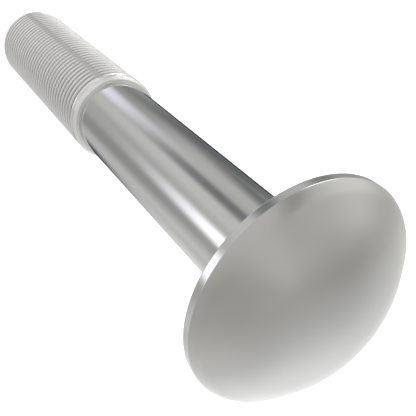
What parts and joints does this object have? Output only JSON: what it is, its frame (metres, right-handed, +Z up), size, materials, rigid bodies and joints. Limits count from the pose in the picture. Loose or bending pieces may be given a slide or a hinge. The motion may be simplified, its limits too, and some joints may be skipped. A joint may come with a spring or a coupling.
{
  "type": "carriage bolt",
  "caption": "Carriage bolt with a broad domed head, a short square neck, a plain reduced shank and a fine thread.",
  "frame": {"origin": "middle of the flat threaded end, on which the bolt stands", "axes": "+Z up along the bolt's axis, from the threaded end to the head; X and Y square to the flats of the neck"},
  "size_m": [0.0372, 0.0372, 0.1308],
  "materials": {
    "steel": "bright bare steel: satin on the dome, polished on the rim and the shank, bright on the thread"
  },
  "bodies": {
    "root": {"bolt": "steel"}
  },
  "joints": []
}
